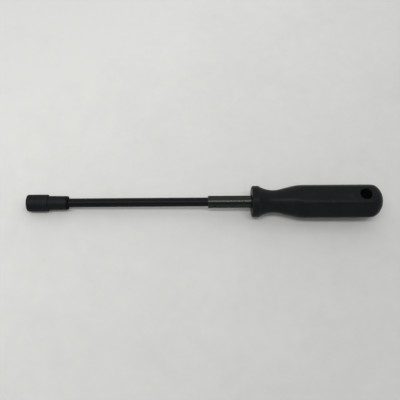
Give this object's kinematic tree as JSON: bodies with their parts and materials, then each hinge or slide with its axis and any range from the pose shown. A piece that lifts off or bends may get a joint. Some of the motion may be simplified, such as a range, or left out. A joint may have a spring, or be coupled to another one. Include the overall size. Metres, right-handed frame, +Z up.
{
  "type": "nut driver",
  "caption": "Nut driver with a hexagon socket on a flexible wound shaft in a black sheath, a crimped steel ferrule, and a black hexagonal handle with a guard and a hanging hole.",
  "frame": {"origin": "centre of the socket's mouth, on the tool's axis", "axes": "+X along the tool towards the handle, +Z up along the hanging hole, -Y towards the viewer"},
  "size_m": [0.28, 0.0278, 0.0258],
  "materials": {
    "handle_plastic": "black moulded polypropylene with a fine satin grain",
    "ferrule_steel": "blackened steel, satin, with a narrow sheen along its top",
    "sheath_plastic": "black extruded plastic sleeve, satin",
    "winding_wire": "oiled spring-steel wire",
    "core_wire_steel": "bright spring-steel wire",
    "socket_steel": "black-oxide steel, matt"
  },
  "bodies": {
    "handle_end": {"handle": "handle_plastic", "ferrule": "ferrule_steel", "sheath": "sheath_plastic", "inner_winding": "winding_wire", "core_wire": "core_wire_steel", "winding_01": "winding_wire"},
    "section_01": {"winding_02": "winding_wire"},
    "section_02": {"winding_03": "winding_wire"},
    "section_03": {"winding_04": "winding_wire"},
    "section_04": {"winding_05": "winding_wire"},
    "section_05": {"winding_06": "winding_wire"},
    "section_06": {"winding_07": "winding_wire"},
    "section_07": {"winding_08": "winding_wire"},
    "section_08": {"winding_09": "winding_wire"},
    "section_09": {"winding_10": "winding_wire"},
    "section_10": {"winding_11": "winding_wire"},
    "section_11": {"winding_12": "winding_wire"},
    "section_12": {"winding_13": "winding_wire"},
    "section_13": {"winding_14": "winding_wire"},
    "section_14": {"winding_15": "winding_wire"},
    "section_15": {"winding_16": "winding_wire"},
    "socket_end": {"socket": "socket_steel", "winding_17": "winding_wire"}
  },
  "joints": [
    {"name": "side_bend_1", "type": "hinge", "parent": "handle_end", "child": "section_01", "pos_m": [0.13896, 0, 0], "axis": [0, 0, 1], "range_deg": [-11.25, 11.25], "stiffness_Nm_per_rad": 2.4, "deforming": ["sheath", "inner_winding", "core_wire"]},
    {"name": "lift_bend_1", "type": "hinge", "parent": "section_01", "child": "section_02", "pos_m": [0.13209, 0, 0], "axis": [0, 1, 0], "range_deg": [-11.25, 11.25], "stiffness_Nm_per_rad": 2.4, "deforming": ["sheath", "inner_winding", "core_wire"]},
    {"name": "side_bend_2", "type": "hinge", "parent": "section_02", "child": "section_03", "pos_m": [0.12521, 0, 0], "axis": [0, 0, 1], "range_deg": [-11.25, 11.25], "stiffness_Nm_per_rad": 2.4},
    {"name": "lift_bend_2", "type": "hinge", "parent": "section_03", "child": "section_04", "pos_m": [0.11834, 0, 0], "axis": [0, 1, 0], "range_deg": [-11.25, 11.25], "stiffness_Nm_per_rad": 2.4},
    {"name": "side_bend_3", "type": "hinge", "parent": "section_04", "child": "section_05", "pos_m": [0.11146, 0, 0], "axis": [0, 0, 1], "range_deg": [-11.25, 11.25], "stiffness_Nm_per_rad": 2.4},
    {"name": "lift_bend_3", "type": "hinge", "parent": "section_05", "child": "section_06", "pos_m": [0.10459, 0, 0], "axis": [0, 1, 0], "range_deg": [-11.25, 11.25], "stiffness_Nm_per_rad": 2.4},
    {"name": "side_bend_4", "type": "hinge", "parent": "section_06", "child": "section_07", "pos_m": [0.09771, 0, 0], "axis": [0, 0, 1], "range_deg": [-11.25, 11.25], "stiffness_Nm_per_rad": 2.4},
    {"name": "lift_bend_4", "type": "hinge", "parent": "section_07", "child": "section_08", "pos_m": [0.09084, 0, 0], "axis": [0, 1, 0], "range_deg": [-11.25, 11.25], "stiffness_Nm_per_rad": 2.4},
    {"name": "side_bend_5", "type": "hinge", "parent": "section_08", "child": "section_09", "pos_m": [0.08396, 0, 0], "axis": [0, 0, 1], "range_deg": [-11.25, 11.25], "stiffness_Nm_per_rad": 2.4},
    {"name": "lift_bend_5", "type": "hinge", "parent": "section_09", "child": "section_10", "pos_m": [0.07709, 0, 0], "axis": [0, 1, 0], "range_deg": [-11.25, 11.25], "stiffness_Nm_per_rad": 2.4},
    {"name": "side_bend_6", "type": "hinge", "parent": "section_10", "child": "section_11", "pos_m": [0.07021, 0, 0], "axis": [0, 0, 1], "range_deg": [-11.25, 11.25], "stiffness_Nm_per_rad": 2.4},
    {"name": "lift_bend_6", "type": "hinge", "parent": "section_11", "child": "section_12", "pos_m": [0.06334, 0, 0], "axis": [0, 1, 0], "range_deg": [-11.25, 11.25], "stiffness_Nm_per_rad": 2.4},
    {"name": "side_bend_7", "type": "hinge", "parent": "section_12", "child": "section_13", "pos_m": [0.05646, 0, 0], "axis": [0, 0, 1], "range_deg": [-11.25, 11.25], "stiffness_Nm_per_rad": 2.4},
    {"name": "lift_bend_7", "type": "hinge", "parent": "section_13", "child": "section_14", "pos_m": [0.04959, 0, 0], "axis": [0, 1, 0], "range_deg": [-11.25, 11.25], "stiffness_Nm_per_rad": 2.4},
    {"name": "side_bend_8", "type": "hinge", "parent": "section_14", "child": "section_15", "pos_m": [0.04271, 0, 0], "axis": [0, 0, 1], "range_deg": [-11.25, 11.25], "stiffness_Nm_per_rad": 2.4},
    {"name": "lift_bend_8", "type": "hinge", "parent": "section_15", "child": "socket_end", "pos_m": [0.03584, 0, 0], "axis": [0, 1, 0], "range_deg": [-11.25, 11.25], "stiffness_Nm_per_rad": 2.4}
  ],
  "couplings": [
    {"joint": "side_bend_2", "follows": "side_bend_1", "ratio": 1},
    {"joint": "lift_bend_2", "follows": "lift_bend_1", "ratio": 1},
    {"joint": "side_bend_3", "follows": "side_bend_1", "ratio": 1},
    {"joint": "lift_bend_3", "follows": "lift_bend_1", "ratio": 1},
    {"joint": "side_bend_4", "follows": "side_bend_1", "ratio": 1},
    {"joint": "lift_bend_4", "follows": "lift_bend_1", "ratio": 1},
    {"joint": "side_bend_5", "follows": "side_bend_1", "ratio": 1},
    {"joint": "lift_bend_5", "follows": "lift_bend_1", "ratio": 1},
    {"joint": "side_bend_6", "follows": "side_bend_1", "ratio": 1},
    {"joint": "lift_bend_6", "follows": "lift_bend_1", "ratio": 1},
    {"joint": "side_bend_7", "follows": "side_bend_1", "ratio": 1},
    {"joint": "lift_bend_7", "follows": "lift_bend_1", "ratio": 1},
    {"joint": "side_bend_8", "follows": "side_bend_1", "ratio": 1},
    {"joint": "lift_bend_8", "follows": "lift_bend_1", "ratio": 1}
  ]
}
